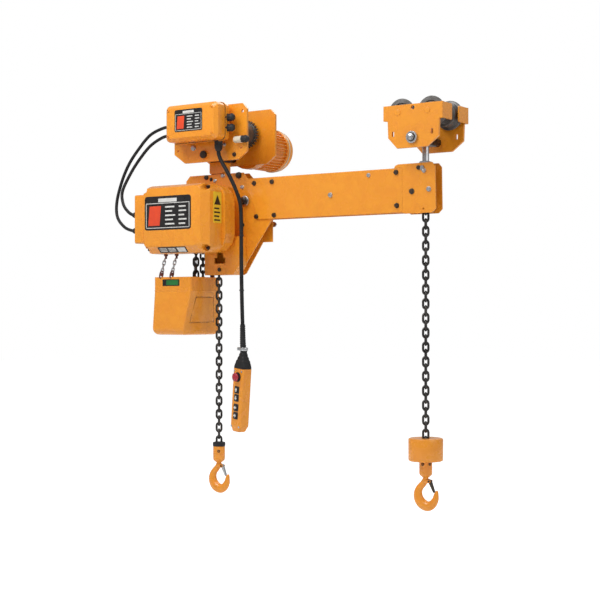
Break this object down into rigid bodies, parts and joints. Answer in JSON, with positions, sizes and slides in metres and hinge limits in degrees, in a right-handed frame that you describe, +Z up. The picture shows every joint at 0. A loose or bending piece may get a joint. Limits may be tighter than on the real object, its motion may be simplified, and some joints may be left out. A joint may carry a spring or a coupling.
{
  "type": "electric chain hoist",
  "caption": "Electric chain hoist with a motor trolley, a plain trolley, a long arm and two chains that lift two hooks together, with a chain bin and a hanging push-button pendant.",
  "frame": {"origin": "where the motor trolley stands on the beam: on the lower flange's upper face, under the web, halfway between its wheels", "axes": "+X along the beam from the motor trolley to the plain trolley, +Y away from the control boxes' side, +Z up"},
  "size_m": [1.1589, 0.4563, 1.2285],
  "materials": {
    "orange_enamel": "glossy orange-yellow enamel",
    "dark_steel": "oiled dark steel",
    "bright_steel": "zinc-plated and ground steel",
    "black_plastic": "matt black plastic",
    "black_rubber": "matt black rubber",
    "white_plastic": "white push button",
    "stop_red": "red mushroom knob"
  },
  "bodies": {
    "drive_trolley": {"drive_plate_front": "orange_enamel", "drive_plate_rear": "orange_enamel", "drive_trolley_shaft": "dark_steel", "trolley_gear_case": "orange_enamel", "trolley_motor_housing": "orange_enamel", "control_box_base": "orange_enamel", "control_box_lid": "orange_enamel", "pendant_cord": "black_rubber", "pendant_shell": "orange_enamel", "pendant_boot": "black_rubber"},
    "hoist": {"suspension_bracket": "orange_enamel", "suspension_rod": "bright_steel", "frame_plate_front": "orange_enamel", "frame_plate_rear": "orange_enamel", "chain_guide_box": "orange_enamel", "gear_case": "orange_enamel", "gear_case_panel": "orange_enamel", "electrical_cover": "orange_enamel", "motor_housing": "orange_enamel", "fan_cover": "black_plastic", "motor_stator": "dark_steel", "arm_plate_front": "orange_enamel", "arm_plate_rear": "orange_enamel", "end_plate_front": "orange_enamel", "end_plate_rear": "orange_enamel", "chain_container": "orange_enamel", "load_chain_left": "dark_steel", "load_chain_right": "dark_steel", "motor_cable_outer": "black_rubber", "motor_cable_inner": "black_rubber"},
    "plain_trolley": {"plain_plate_front": "orange_enamel", "plain_plate_rear": "orange_enamel", "plain_trolley_shaft": "dark_steel"},
    "drive_wheel_front_left": {"drive_wheel_front_left": "dark_steel"},
    "drive_wheel_front_right": {"drive_wheel_front_right": "dark_steel"},
    "drive_wheel_rear_left": {"drive_wheel_rear_left": "dark_steel"},
    "drive_wheel_rear_right": {"drive_wheel_rear_right": "dark_steel"},
    "wheel_pinion": {"wheel_pinion": "bright_steel"},
    "trolley_rotor": {"trolley_rotor": "bright_steel"},
    "motor_rotor": {"motor_rotor": "bright_steel"},
    "intermediate_gear": {"intermediate_gear": "bright_steel"},
    "load_sheave": {"load_sheave": "dark_steel"},
    "inner_sprocket": {"inner_sprocket": "dark_steel"},
    "outer_sprocket": {"outer_sprocket": "dark_steel"},
    "left_hook_block": {"left_hook_block": "orange_enamel"},
    "right_hook_block": {"right_hook_block": "orange_enamel"},
    "left_hook": {"left_hook": "orange_enamel"},
    "right_hook": {"right_hook": "orange_enamel"},
    "left_latch": {"left_latch": "bright_steel"},
    "right_latch": {"right_latch": "bright_steel"},
    "up_button": {"up_button": "white_plastic"},
    "down_button": {"down_button": "white_plastic"},
    "left_button": {"left_button": "white_plastic"},
    "right_button": {"right_button": "white_plastic"},
    "emergency_stop": {"emergency_stop": "stop_red"},
    "plain_wheel_front_left": {"plain_wheel_front_left": "dark_steel"},
    "plain_wheel_front_right": {"plain_wheel_front_right": "dark_steel"},
    "plain_wheel_rear_left": {"plain_wheel_rear_left": "dark_steel"},
    "plain_wheel_rear_right": {"plain_wheel_rear_right": "dark_steel"}
  },
  "joints": [
    {"name": "hoist_swivel", "type": "hinge", "parent": "drive_trolley", "child": "hoist", "pos_m": [0, 0, -0.039], "axis": [0, 0, 1], "range_deg": [-8, 8]},
    {"name": "plain_trolley_swivel", "type": "hinge", "parent": "hoist", "child": "plain_trolley", "pos_m": [0.75, 0, -0.039], "axis": [0, 0, 1], "range_deg": [-8, 8]},
    {"name": "drive_wheel_front_left_spin", "type": "hinge", "parent": "drive_trolley", "child": "drive_wheel_front_left", "pos_m": [-0.065, -0.045, 0.035], "axis": [0, 1, 0], "continuous": true},
    {"name": "drive_wheel_front_right_spin", "type": "hinge", "parent": "drive_trolley", "child": "drive_wheel_front_right", "pos_m": [0.065, -0.045, 0.035], "axis": [0, 1, 0], "continuous": true},
    {"name": "trolley_rotor_spin", "type": "hinge", "parent": "drive_trolley", "child": "trolley_rotor", "pos_m": [0.048, 0.15, -0.001], "axis": [0, 1, 0], "continuous": true},
    {"name": "wheel_pinion_spin", "type": "hinge", "parent": "drive_trolley", "child": "wheel_pinion", "pos_m": [0, 0.06, 0.035], "axis": [0, 1, 0], "continuous": true},
    {"name": "drive_wheel_rear_left_spin", "type": "hinge", "parent": "drive_trolley", "child": "drive_wheel_rear_left", "pos_m": [-0.065, 0.045, 0.035], "axis": [0, 1, 0], "continuous": true},
    {"name": "drive_wheel_rear_right_spin", "type": "hinge", "parent": "drive_trolley", "child": "drive_wheel_rear_right", "pos_m": [0.065, 0.045, 0.035], "axis": [0, 1, 0], "continuous": true},
    {"name": "plain_wheel_front_left_spin", "type": "hinge", "parent": "plain_trolley", "child": "plain_wheel_front_left", "pos_m": [0.702, -0.045, 0.035], "axis": [0, 1, 0], "continuous": true},
    {"name": "plain_wheel_front_right_spin", "type": "hinge", "parent": "plain_trolley", "child": "plain_wheel_front_right", "pos_m": [0.798, -0.045, 0.035], "axis": [0, 1, 0], "continuous": true},
    {"name": "plain_wheel_rear_left_spin", "type": "hinge", "parent": "plain_trolley", "child": "plain_wheel_rear_left", "pos_m": [0.702, 0.045, 0.035], "axis": [0, 1, 0], "continuous": true},
    {"name": "plain_wheel_rear_right_spin", "type": "hinge", "parent": "plain_trolley", "child": "plain_wheel_rear_right", "pos_m": [0.798, 0.045, 0.035], "axis": [0, 1, 0], "continuous": true},
    {"name": "motor_rotor_spin", "type": "hinge", "parent": "hoist", "child": "motor_rotor", "pos_m": [-0.023, 0.1, -0.2], "axis": [0, -1, 0], "range_deg": [0, 11140]},
    {"name": "intermediate_gear_spin", "type": "hinge", "parent": "hoist", "child": "intermediate_gear", "pos_m": [0.01518, -0.09, -0.23818], "axis": [0, -1, 0], "range_deg": [-2228.5, 0]},
    {"name": "load_sheave_spin", "type": "hinge", "parent": "hoist", "child": "load_sheave", "pos_m": [-0.023, -0.036, -0.2], "axis": [0, -1, 0], "range_deg": [0, 637]},
    {"name": "inner_sprocket_spin", "type": "hinge", "parent": "hoist", "child": "inner_sprocket", "pos_m": [0.1148, 0, -0.187], "axis": [0, -1, 0], "range_deg": [0, 876.5]},
    {"name": "outer_sprocket_spin", "type": "hinge", "parent": "hoist", "child": "outer_sprocket", "pos_m": [0.716, 0, -0.187], "axis": [0, -1, 0], "range_deg": [0, 876.5]},
    {"name": "left_hook_lift", "type": "slide", "parent": "hoist", "child": "left_hook_block", "axis": [0, 0, 1], "range_m": [0, 0.52], "deforming": ["load_chain_left"]},
    {"name": "right_hook_lift", "type": "slide", "parent": "hoist", "child": "right_hook_block", "axis": [0, 0, 1], "range_m": [0, 0.52], "deforming": ["load_chain_right"]},
    {"name": "left_hook_swivel", "type": "hinge", "parent": "left_hook_block", "child": "left_hook", "pos_m": [0.0238, -0.036, -1.012], "axis": [0, 0, 1], "continuous": true},
    {"name": "left_latch_hinge", "type": "hinge", "parent": "left_hook", "child": "left_latch", "pos_m": [0.0378, -0.036, -1.026], "axis": [0, 1, 0], "range_deg": [0, 35], "stiffness_Nm_per_rad": 0.03, "springref_deg": -17.19},
    {"name": "right_hook_swivel", "type": "hinge", "parent": "right_hook_block", "child": "right_hook", "pos_m": [0.75, 0, -1.012], "axis": [0, 0, 1], "continuous": true},
    {"name": "right_latch_hinge", "type": "hinge", "parent": "right_hook", "child": "right_latch", "pos_m": [0.764, 0, -1.026], "axis": [0, 1, 0], "range_deg": [0, 35], "stiffness_Nm_per_rad": 0.03, "springref_deg": -17.19},
    {"name": "up_button_press", "type": "slide", "parent": "drive_trolley", "child": "up_button", "axis": [0.2588, 0.9659, 0], "range_m": [0, 0.003], "stiffness_N_per_m": 300, "springref_m": -0.003},
    {"name": "down_button_press", "type": "slide", "parent": "drive_trolley", "child": "down_button", "axis": [0.2588, 0.9659, 0], "range_m": [0, 0.003], "stiffness_N_per_m": 300, "springref_m": -0.003},
    {"name": "left_button_press", "type": "slide", "parent": "drive_trolley", "child": "left_button", "axis": [0.2588, 0.9659, 0], "range_m": [0, 0.003], "stiffness_N_per_m": 300, "springref_m": -0.003},
    {"name": "right_button_press", "type": "slide", "parent": "drive_trolley", "child": "right_button", "axis": [0.2588, 0.9659, 0], "range_m": [0, 0.003], "stiffness_N_per_m": 300, "springref_m": -0.003},
    {"name": "emergency_stop_press", "type": "slide", "parent": "drive_trolley", "child": "emergency_stop", "axis": [0.2588, 0.9659, 0], "range_m": [0, 0.004]}
  ],
  "couplings": [
    {"joint": "wheel_pinion_spin", "follows": "trolley_rotor_spin", "ratio": -0.25},
    {"joint": "drive_wheel_rear_left_spin", "follows": "trolley_rotor_spin", "ratio": 0.13462},
    {"joint": "drive_wheel_rear_right_spin", "follows": "trolley_rotor_spin", "ratio": 0.13462},
    {"joint": "intermediate_gear_spin", "follows": "motor_rotor_spin", "ratio": -0.2},
    {"joint": "load_sheave_spin", "follows": "motor_rotor_spin", "ratio": 0.057143},
    {"joint": "inner_sprocket_spin", "follows": "motor_rotor_spin", "ratio": 0.078655},
    {"joint": "outer_sprocket_spin", "follows": "motor_rotor_spin", "ratio": 0.078655},
    {"joint": "left_hook_lift", "follows": "motor_rotor_spin", "m_per_rad": 0.0026743},
    {"joint": "right_hook_lift", "follows": "motor_rotor_spin", "m_per_rad": 0.0026743}
  ]
}
